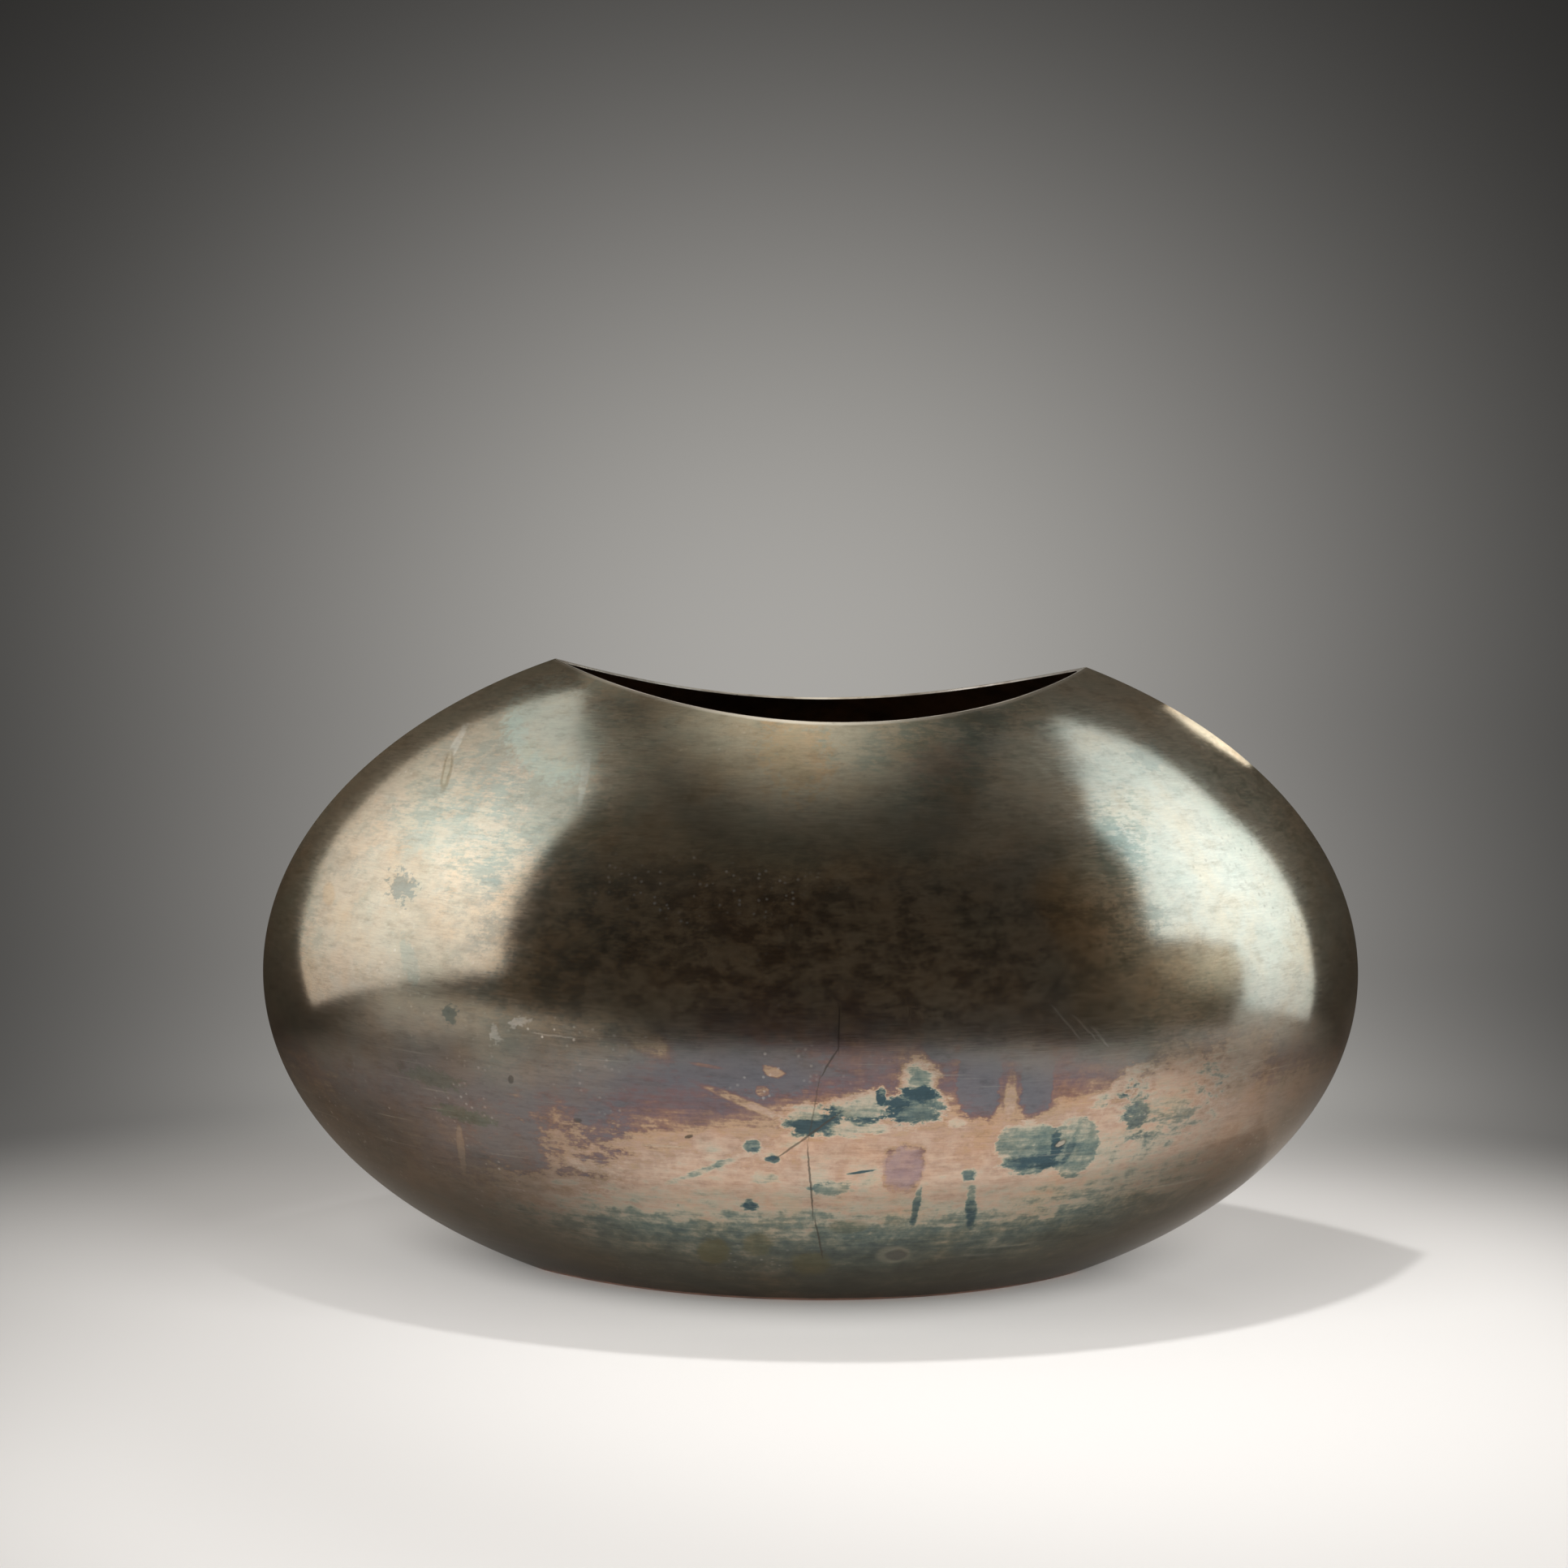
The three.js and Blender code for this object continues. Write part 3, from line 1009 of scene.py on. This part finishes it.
@dataclass
class LensBody:
    """The two shells and the foot plate."""

    half_width: float
    half_depth: float
    plate_sheet: float
    rise: float = 0.1175
    drop: float = 0.113
    equator: float = 0.098998
    shell_sheet: float = 0.0012
    seam_land: float = 0.003
    solder_film: float = 0.0001
    mouth_radius: float = 0.255
    mouth_floor: float = 0.088
    rim_fall: float = 0.0008
    rim_round: float = 0.0006
    rim_segments: int = 5
    columns: int = 200
    rows: int = 120
    edge_cell: float = 0.006
    plate_columns: int = 96
    plate_rows: int = 12

    def edge_width(self, half_span: float) -> float:
        """Width that the sheet shows at the seam across a half span of the oval."""
        across = math.tan(math.asin(self.half_width / self.outer_dome().arc_radius))
        slope = math.atan(across * self.half_width / half_span)
        return self.shell_sheet / math.sin(slope)

    def outer_dome(self) -> Dome:
        """The outer surface of a shell."""
        return Dome(self.half_width, self.rise, self.drop, self.half_depth)

    def inner_dome(self) -> Dome:
        """The inner surface of a shell."""
        return Dome(
            self.half_width - self.edge_width(self.half_width),
            self.rise - self.edge_width(self.rise),
            self.drop - self.edge_width(self.drop),
            self.half_depth - self.shell_sheet,
        )

    def spread(self, position: float, cells: int, edge: float) -> float:
        """Moves an even grid's lines outwards so that its end cells are narrow.

        Args:
            position: The line's place from -1 to 1.
            cells: How many cells the grid has that way.
            edge: Width of the end cells, where the grid is 2 wide.

        Returns:
            The line's new place from -1 to 1.
        """
        last = 1 - 2 / cells
        if abs(position) > last + 1 / cells:
            return math.copysign(1.0, position)
        return position / last * (1 - edge)

    def shell(self, side: Side) -> bpy.types.Object:
        """Models one shell as a curved slab with a rounded rim.

        Args:
            side: The side of the seam on which the shell lies.

        Returns:
            The shell's object.
        """
        bm = bmesh.new()
        bmesh.ops.create_grid(bm, x_segments=self.columns, y_segments=self.rows, size=1.0)
        inner_verts = set(bm.verts)
        inner_faces = set(bm.faces)
        sheet = bm.verts[:] + bm.edges[:] + bm.faces[:]
        raised = bmesh.ops.extrude_face_region(bm, geom=sheet, use_keep_orig=True)["geom"]
        outer_faces = {item for item in raised if isinstance(item, bmesh.types.BMFace)}
        foot = self.plate_sheet + self.solder_film - self.equator
        inner = Patch(
            self.inner_dome(), self.half_width - self.seam_land, foot,
            self.mouth_floor - self.rim_fall, self.mouth_radius, drops=True,
        )
        outer = Patch(
            self.outer_dome(), self.half_width, foot,
            self.mouth_floor, self.mouth_radius, drops=False,
        )
        angles = {patch: (patch.foot_angle, patch.horn_angle) for patch in (inner, outer)}
        top = set()
        for vert in bm.verts:
            is_inner = vert in inner_verts
            patch = inner if is_inner else outer
            along = self.spread(vert.co.x, self.columns, 0.0 if is_inner else self.edge_cell)
            up = (self.spread(vert.co.y, self.rows, self.edge_cell) + 1) / 2
            if up == 1.0:
                top.add(vert)
            vert.co = patch.point(along, up, *angles[patch])
        for face in bm.faces:
            layer = Layer.RIM
            if face in inner_faces:
                layer = Layer.INSIDE
            elif face in outer_faces:
                layer = Layer.OUTSIDE
            face.material_index = layer.value
        bmesh.ops.recalc_face_normals(bm, faces=bm.faces[:])
        self.round_rim(bm, top, inner_verts)
        lift = Vector((0, self.solder_film / 2, self.equator))
        bmesh.ops.translate(bm, verts=bm.verts[:], vec=lift)
        turn = Matrix.Rotation(side.value, 3, "Z")
        bmesh.ops.rotate(bm, verts=bm.verts[:], cent=(0, 0, 0), matrix=turn)
        return make_piece(f"{side.name.lower()}_dome", bm)

    def round_rim(
        self,
        bm: bmesh.types.BMesh,
        top: set[bmesh.types.BMVert],
        inner_verts: set[bmesh.types.BMVert],
    ) -> None:
        """Rounds the outer edge of the cut sheet at the mouth.

        Args:
            bm: The shell's bmesh.
            top: The points at the mouth.
            inner_verts: The points of the inner surface.
        """
        rim = top - inner_verts
        edges = [edge for edge in bm.edges if rim.issuperset(edge.verts)]
        bmesh.ops.bevel(
            bm, geom=edges, offset=self.rim_round, segments=self.rim_segments,
            profile=0.5, affect="EDGES", material=Layer.RIM.value, clamp_overlap=True,
        )

    def foot_plate(self) -> bpy.types.Object:
        """Models the flat plate that closes the foot.

        Returns:
            The plate's object.
        """
        bm = bmesh.new()
        bmesh.ops.create_grid(
            bm, x_segments=self.plate_columns, y_segments=self.plate_rows, size=1.0
        )
        lower = set(bm.verts)
        sheet = bm.verts[:] + bm.edges[:] + bm.faces[:]
        bmesh.ops.extrude_face_region(bm, geom=sheet, use_keep_orig=True)
        dome = self.outer_dome()
        for vert in bm.verts:
            height = 0.0 if vert in lower else self.plate_sheet
            share = dome.share(height - self.equator)
            across = math.sin(vert.co.x * math.pi / 2) * dome.width * math.sqrt(1 - share**2)
            depth = dome.swell(across, share) if abs(vert.co.x) < 1 else 0.0
            vert.co = Vector((across, vert.co.y * depth, height))
        bmesh.ops.remove_doubles(bm, verts=bm.verts[:], dist=1e-7)
        bmesh.ops.recalc_face_normals(bm, faces=bm.faces[:])
        return make_piece("foot_sheet", bm)


def make_piece(name: str, bm: bmesh.types.BMesh) -> bpy.types.Object:
    """Turns a bmesh into an object.

    Args:
        name: The piece's name.
        bm: The bmesh, which is freed.

    Returns:
        The object.
    """
    mesh = bpy.data.meshes.new(name)
    bm.to_mesh(mesh)
    bm.free()
    for face in mesh.polygons:
        face.use_smooth = True
    mesh.set_sharp_from_angle(angle=SHARP_ANGLE)
    piece = bpy.data.objects.new(name, mesh)
    bpy.context.scene.collection.objects.link(piece)
    return piece


@dataclass(frozen=True)
class PaleSweep:
    """The paper of the floor, which turns into a softly lit backdrop with no line between."""

    name: str = "pale sweep"
    paper: Colour = rgba(0.85, 0.826, 0.80)
    # Painted shade: the paper's colour beyond the pool of lamplight, near black.
    painted_dark_beyond_pool: Colour = rgba(0.008, 0.008, 0.008)
    tint_green: float = 0.968
    tint_blue: float = 0.915
    pool: Flat = (0.018, -0.09)
    pool_length: float = 0.10
    pool_reach: Flat = (0.20, 0.43)
    glow_heart: Flat = (0.056, -0.06)
    glow_spread: Flat = (0.198, 0.178)
    eye: Point = (-0.062, -0.973, 0.253)
    bounce: Oval = ((-0.01, 0.03), (0.15, 0.080))
    bounce_level: float = 0.10
    seen_dark: float = 0.012
    seen_glow: float = 0.375
    seen_front: float = 0.1
    mirrored_glow: float = 0.35
    mirrored_sides: float = 0.6
    diffuse_level: float = 0.2

    def build(self) -> bpy.types.Material:
        """Makes the material.

        Returns:
            The finished material.
        """
        tree = new_material(self.name)
        x, y, z = tree.parts(tree.place())
        lit = self.lit_pool(x, y)
        behind = y.stepped(0.0, 0.35)
        glow = self.glow(x, y, z, behind)
        camera, glossy, diffuse = (
            tree.node("ShaderNodeLightPath", {}, {}, f"Is {kind} Ray")
            for kind in ("Camera", "Glossy", "Diffuse")
        )
        seen = self.seen_dark + self.seen_glow * glow + self.seen_front * (1 - behind)
        haze = 0.043 + 0.02 * behind + 0.09 * behind * z.stepped(0.25, 1.0)
        sides = self.mirrored_sides * self.side_light(x, y, z)
        mirrored = (haze + self.mirrored_glow * glow + sides) * glossy
        foot = tree.oval(tree.node("ShaderNodeCombineXYZ", {}, {0: x, 2: y}), *self.bounce)
        bounced = self.bounce_level * (1 - foot.stepped(0.85, 1.45)) * camera
        strength = seen * camera + mirrored + self.diffuse_level * diffuse
        strength = strength * (1 - lit) + bounced
        tinted = {0: strength, 1: strength * self.tint_green, 2: strength * self.tint_blue}
        material = tree.finish(
            {
                # The pool of lamplight is painted into the paper's colour, which falls to near
                # black beyond it.
                "Base Color": tree.mix(lit, self.painted_dark_beyond_pool, self.paper),
                "Roughness": 0.95,
                "Specular IOR Level": 0.1,
                "Emission Color": tree.node("ShaderNodeCombineColor", {}, tinted),
                "Emission Strength": 1.0,
            }
        )
        material.cycles.emission_sampling = "NONE"
        return material

    def lit_pool(self, x: Sock, y: Sock) -> Sock:
        """Draws the pool of lamplight on the floor, 1 inside it and 0 beyond."""
        across = x - self.pool[0]
        back = (y - self.pool[1] - self.pool_length).highest(0.0) * 1.4
        front = (self.pool[1] - self.pool_length - y).highest(0.0) * 1.3
        along = back + front
        from_pool = (across**2.0 + along**2.0) ** 0.5
        return 1 - from_pool.stepped(*self.pool_reach)

    def glow(self, x: Sock, y: Sock, z: Sock, behind: Sock) -> Sock:
        """Draws the round glow on the backdrop, as it is seen from the camera's place.

        Args:
            x: The point's place across.
            y: Its place along.
            z: Its height.
            behind: 1 behind the vase and 0 in front of it.

        Returns:
            The glow, about 0 to 1.
        """
        depth = (y - self.eye[1]).highest(0.3)
        slide = (x - self.eye[0]) / depth - self.glow_heart[0]
        climb = (z - self.eye[2]) / depth - self.glow_heart[1]
        rightward = slide.stepped(-0.28, 0.1)
        horizon = (0.3 + 0.8 * rightward) * (1 - climb.stepped(-0.17, -0.09))
        low = 1 + (0.02 + 0.22 * rightward) * (1 - climb.stepped(-0.09, 0.0)) + horizon
        climb = climb.highest(0.0)
        spread = (slide / self.glow_spread[0]) ** 2.0 + (climb / self.glow_spread[1]) ** 2.0
        return (spread * -1.0).exp() * behind * low

    def side_light(self, x: Sock, y: Sock, z: Sock) -> Sock:
        """Draws the light on the floor far out on both sides, which only the metal mirrors.

        Args:
            x: The point's place across.
            y: Its place along.
            z: Its height.

        Returns:
            The light, 0 to 1.
        """
        beside = x.off_centre()
        on_left = y.stepped(-0.7, -0.35) * (1 - y.stepped(-0.12, 0.08))
        on_right = y.stepped(-0.32, -0.08) * (1 - y.stepped(0.0, 0.22))
        near = on_left + x.stepped(0.0, 0.01) * (on_right - on_left)
        near = near * (1 - beside.stepped(0.8, 1.3))
        return beside.stepped(0.25, 0.45) * (1 - z.stepped(0.0, 0.14)) * near


@dataclass(frozen=True)
class Card:
    """A lit card beside the set that only shows as a reflection in the metal."""

    name: str
    corners: tuple[Point, ...]
    hot_spot: Point
    hot_size: Point
    dim: float
    bright: float
    tint: Colour

    def build(self) -> bpy.types.Object:
        """Makes the card.

        Returns:
            The card's object.
        """
        bm = bmesh.new()
        verts = [bm.verts.new(corner) for corner in self.corners]
        bmesh.ops.contextual_create(bm, geom=verts)
        card = make_piece(self.name, bm)
        tree = new_material(self.name)
        values = {"Vector": tree.place(), "Location": self.hot_spot, "Scale": self.hot_size}
        local = tree.node("ShaderNodeMapping", {"vector_type": "TEXTURE"}, values)
        heat = (tree.length(local) ** 2.0 * -1.0).exp()
        level = self.dim + (self.bright - self.dim) * heat
        grey = tree.node("ShaderNodeCombineColor", {}, {0: level, 1: level, 2: level})
        colour = tree.mix(1.0, grey, self.tint, "MULTIPLY")
        light = tree.node("ShaderNodeEmission", {}, {"Color": colour, "Strength": 1.0})
        tree.node_out("ShaderNodeOutputMaterial", {"Surface": light})
        card.data.materials.append(tree.owner)
        card.visible_camera = False
        card.visible_diffuse = False
        card.visible_shadow = False
        return card


def upright(reach: float, *corners: Flat) -> tuple[Point, ...]:
    """Puts corners given as Y and Z on the upright plane at a reach along X."""
    return tuple((reach, y, z) for y, z in corners)


def level(height: float, *corners: Flat) -> tuple[Point, ...]:
    """Puts corners given as X and Y on the level plane at a height."""
    return tuple((x, y, height) for x, y in corners)


CARDS = (
    # The two wide side panels, which light most of the metal.
    Card(
        name="left_card",
        corners=upright(
            -0.5,
            (0.12, 0.0), (0.165, 0.2), (0.25, 0.38), (0.41, 0.62), (0.79, 1.29), (0.28, 1.1),
            (-0.02, 1.0), (-0.15, 0.8), (-0.22, 0.52), (-0.3, 0.2), (-0.3, 0.17),
        ),
        hot_spot=(-0.5, -0.05, 0.42),
        hot_size=(1.0, 0.25, 0.26),
        dim=0.95,
        bright=1.9,
        tint=rgba(1.0, 0.98, 0.99),
    ),
    Card(
        name="right_card",
        corners=upright(
            0.5,
            (0.13, 0.0), (0.12, 0.12), (0.13, 0.22), (0.18, 0.43), (0.31, 0.65), (0.435, 0.98),
            (0.31, 0.92), (0.06, 0.76), (-0.09, 0.66), (-0.12, 0.53), (-0.17, 0.41),
            (-0.22, 0.3), (-0.22, 0.27), (-0.06, 0.19), (-0.06, 0.055),
        ),
        hot_spot=(0.5, 0.08, 0.34),
        hot_size=(1.0, 0.28, 0.26),
        dim=1.15,
        bright=1.85,
        tint=rgba(0.905, 1.0, 1.05),
    ),
    # A narrow strip at the upper right.
    Card(
        name="strip_card",
        corners=upright(
            0.6,
            (0.79, 0.695), (0.665, 0.625), (0.62, 0.58), (0.595, 0.55), (0.578, 0.50),
            (0.57, 0.46), (0.61, 0.455), (0.73, 0.58), (0.81, 0.66),
        ),
        hot_spot=(0.6, 0.6, 0.5),
        hot_size=(1.0, 0.3, 0.3),
        dim=2.4,
        bright=3.4,
        tint=rgba(1.0, 0.99, 0.95),
    ),
    # The darker step at the lower edge of the right panel.
    Card(
        name="step_card",
        corners=upright(
            0.52,
            (-0.06, 0.19), (-0.06, 0.08), (-0.16, 0.09), (-0.25, 0.17), (-0.24, 0.28),
        ),
        hot_spot=(0.52, -0.08, 0.17),
        hot_size=(1.0, 0.1, 0.06),
        dim=0.25,
        bright=0.85,
        tint=rgba(1.0, 0.88, 0.70),
    ),
    # A faint warm halo in front of the right panel.
    Card(
        name="halo_card",
        corners=upright(0.54, (-0.5, 0.0), (-0.08, 0.0), (-0.08, 0.7), (-0.5, 0.7)),
        hot_spot=(0.54, -0.2, 0.25),
        hot_size=(1.0, 0.15, 0.4),
        dim=0.045,
        bright=0.22,
        tint=rgba(1.0, 0.80, 0.58),
    ),
    # The glow overhead, which lights the metal above the belly.
    Card(
        name="overhead_card",
        corners=level(0.76, (-0.26, -0.5), (0.3, -0.5), (0.3, 0.24), (-0.26, 0.24)),
        hot_spot=(-0.01, 0.12, 0.76),
        hot_size=(0.14, 0.235, 1.0),
        dim=0.05,
        bright=1.0,
        tint=rgba(1.0, 0.96, 0.87),
    ),
    # The light behind the vase, over the mouth.
    Card(
        name="beyond_card",
        corners=level(0.76, (-0.3, 0.24), (0.3, 0.24), (0.3, 0.75), (-0.3, 0.75)),
        hot_spot=(0.05, 0.42, 0.76),
        hot_size=(0.26, 0.11, 1.0),
        dim=0.12,
        bright=1.5,
        tint=rgba(1.0, 0.97, 0.91),
    ),
)


@dataclass(frozen=True)
class Lamp:
    """A lamp that lights the floor and isn't mirrored in the metal."""

    name: str
    place: Point
    aim: Point
    energy: float
    size: float
    angle: float | None = None

    def build(self) -> bpy.types.Object:
        """Hangs the lamp, as a spot where it has an angle and as a flat disc where it has none.

        Returns:
            The lamp's object.
        """
        data = bpy.data.lights.new(self.name, "SPOT" if self.angle else "AREA")
        data.energy = self.energy
        if self.angle:
            data.shadow_soft_size = self.size
            data.spot_size = math.radians(self.angle)
            data.spot_blend = 1.0
        else:
            data.shape = "DISK"
            data.size = self.size
        lamp = bpy.data.objects.new(self.name, data)
        bpy.context.scene.collection.objects.link(lamp)
        place = Vector(self.place)
        look = (Vector(self.aim) - place).to_track_quat("-Z", "Y").to_matrix().to_4x4()
        lamp.matrix_world = Matrix.Translation(place) @ look
        lamp.visible_camera = False
        lamp.visible_glossy = False
        return lamp


LAMPS = (
    # A small hard lamp above, which casts the crisp shadow on the right.
    Lamp("key", (-0.0095, -0.149, 0.729), (0.064, -0.04, 0.0), energy=7.95, size=0.018, angle=44),
    # Two wide soft lamps in front, which light the floor evenly.
    Lamp("fill_left", (-0.8, -0.9, 0.8), (0.0, -0.1, 0.0), energy=12.6, size=1.0),
    Lamp("fill_right", (0.8, -0.9, 0.8), (0.0, -0.1, 0.0), energy=12.6, size=1.0),
    # A narrow lamp, which lifts the floor behind the right end of the vase.
    Lamp("kicker", (0.42, 0.42, 0.5), (0.205, 0.125, 0.0), energy=2.2, size=0.05, angle=26),
)


@dataclass
class Studio:
    """Camera, floor with backdrop, and sky."""

    target: Vector
    yaw: float = 0.0637
    elevation: float = 0.1562
    distance: float = 0.9874
    tilt: float = 0.0636
    pan: float = 0.0118
    roll: float = -0.0199
    focal_pixels: float = 3699.4
    floor_radius: float = 1.1
    bend_radius: float = 0.8
    wall_top: float = 2.4
    bend_steps: int = 12
    steps_around: int = 96
    low_sky: Colour = rgba(0.158, 0.132, 0.108)
    high_sky: Colour = rgba(0.162, 0.15, 0.133)
    front_sky: Colour = rgba(0.04, 0.033, 0.026)

    def camera(self) -> bpy.types.Object:
        """Sets up the camera at the photograph's angle.

        Returns:
            The camera.
        """
        data = bpy.data.cameras.new("camera")
        data.sensor_width = SENSOR_WIDTH
        data.lens = self.focal_pixels / PHOTO_SIDE * SENSOR_WIDTH
        camera = bpy.data.objects.new("camera", data)
        bpy.context.scene.collection.objects.link(camera)
        ahead = math.cos(self.elevation)
        back = Vector(
            (-math.sin(self.yaw) * ahead, -math.cos(self.yaw) * ahead, math.sin(self.elevation))
        )
        look = (-back).to_track_quat("-Z", "Y").to_matrix().to_4x4()
        aim = Matrix.Rotation(self.tilt, 4, "X") @ Matrix.Rotation(self.pan, 4, "Y")
        place = Matrix.Translation(self.target + back * self.distance)
        camera.matrix_world = place @ look @ aim @ Matrix.Rotation(-self.roll, 4, "Z")
        bpy.context.scene.camera = camera
        return camera

    def sweep(self) -> bpy.types.Object:
        """Makes the round floor that curves up into a backdrop all the way round.

        Returns:
            The floor's object.
        """
        flat, bend = self.floor_radius, self.bend_radius
        bm = bmesh.new()
        points = [(0.0, 0.0), (flat, 0.0)]
        for step in range(1, self.bend_steps + 1):
            angle = step / self.bend_steps * math.pi / 2
            points.append((flat + bend * math.sin(angle), bend - bend * math.cos(angle)))
        points.append((flat + bend, self.wall_top))
        profile = [bm.verts.new((out, 0.0, height)) for out, height in points]
        edges = [bm.edges.new(pair) for pair in zip(profile, profile[1:])]
        bmesh.ops.spin(
            bm, geom=profile + edges, cent=(0, 0, 0), axis=(0, 0, 1), angle=math.tau,
            steps=self.steps_around, use_merge=True,
        )
        bmesh.ops.remove_doubles(bm, verts=bm.verts[:], dist=1e-6)
        bmesh.ops.recalc_face_normals(bm, faces=bm.faces[:])
        sweep = make_piece("sweep", bm)
        sweep.data.materials.append(PaleSweep().build())
        return sweep

    def world(self) -> None:
        """Gives the open top above the backdrop a dim grey, lighter overhead, darker in front."""
        world = bpy.data.worlds.new("studio")
        tree = ShaderTree(world)
        _, away, up = tree.parts(tree.node("ShaderNodeTexCoord", {}, {}, "Generated"))
        colour = tree.mix(up.stepped(0.7, 1.0), self.low_sky, self.high_sky)
        colour = tree.mix(0.65 * (1 - away.stepped(-0.25, 0.08)), colour, self.front_sky)
        light = tree.node("ShaderNodeBackground", {}, {"Color": colour, "Strength": 1.0})
        tree.node_out("ShaderNodeOutputWorld", {"Surface": light})
        bpy.context.scene.world = world


def main() -> None:
    """Builds the vase and the studio."""
    logging.basicConfig(level=logging.INFO, format="%(message)s")
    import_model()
    bpy.context.scene.view_settings.view_transform = "Standard"
    shell_low, shell_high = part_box("back_shell")
    plate_low, plate_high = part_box("base_plate")
    body = LensBody(
        half_width=(shell_high[0] - shell_low[0]) / 2,
        half_depth=shell_high[1] - LensBody.solder_film / 2,
        plate_sheet=plate_high[2] - plate_low[2],
    )
    front = TarnishedSilver(
        name="front silver", stains=FRONT_STAINS, marks=FRONT_MARKS, seed=(0.0, 0.0, 0.0)
    )
    back = TarnishedSilver(name="back silver", stains=BACK_STAINS, marks=(), seed=(0.7, 0.3, 0.2))
    silver = {Side.FRONT: front.build(), Side.BACK: back.build()}
    inside = DarkInside().build()
    edge = RubbedEdge().build()
    for side in Side:
        shell = body.shell(side)
        for finish in (silver[side], inside, edge):
            shell.data.materials.append(finish)
        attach(shell, "root")
        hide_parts(f"{side.name.lower()}_shell")
        LOG.info("built %s with %d faces", shell.name, len(shell.data.polygons))
    plate = body.foot_plate()
    plate.data.materials.append(WornBrass().build())
    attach(plate, "root")
    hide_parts("base_plate")
    LOG.info("built %s with %d faces", plate.name, len(plate.data.polygons))
    studio = Studio(target=Vector((0, 0, 0.099)))
    studio.camera()
    studio.sweep()
    for item in LAMPS + CARDS:
        LOG.info("set up %s", item.build().name)
    studio.world()


if __name__ == "__main__":
    main()
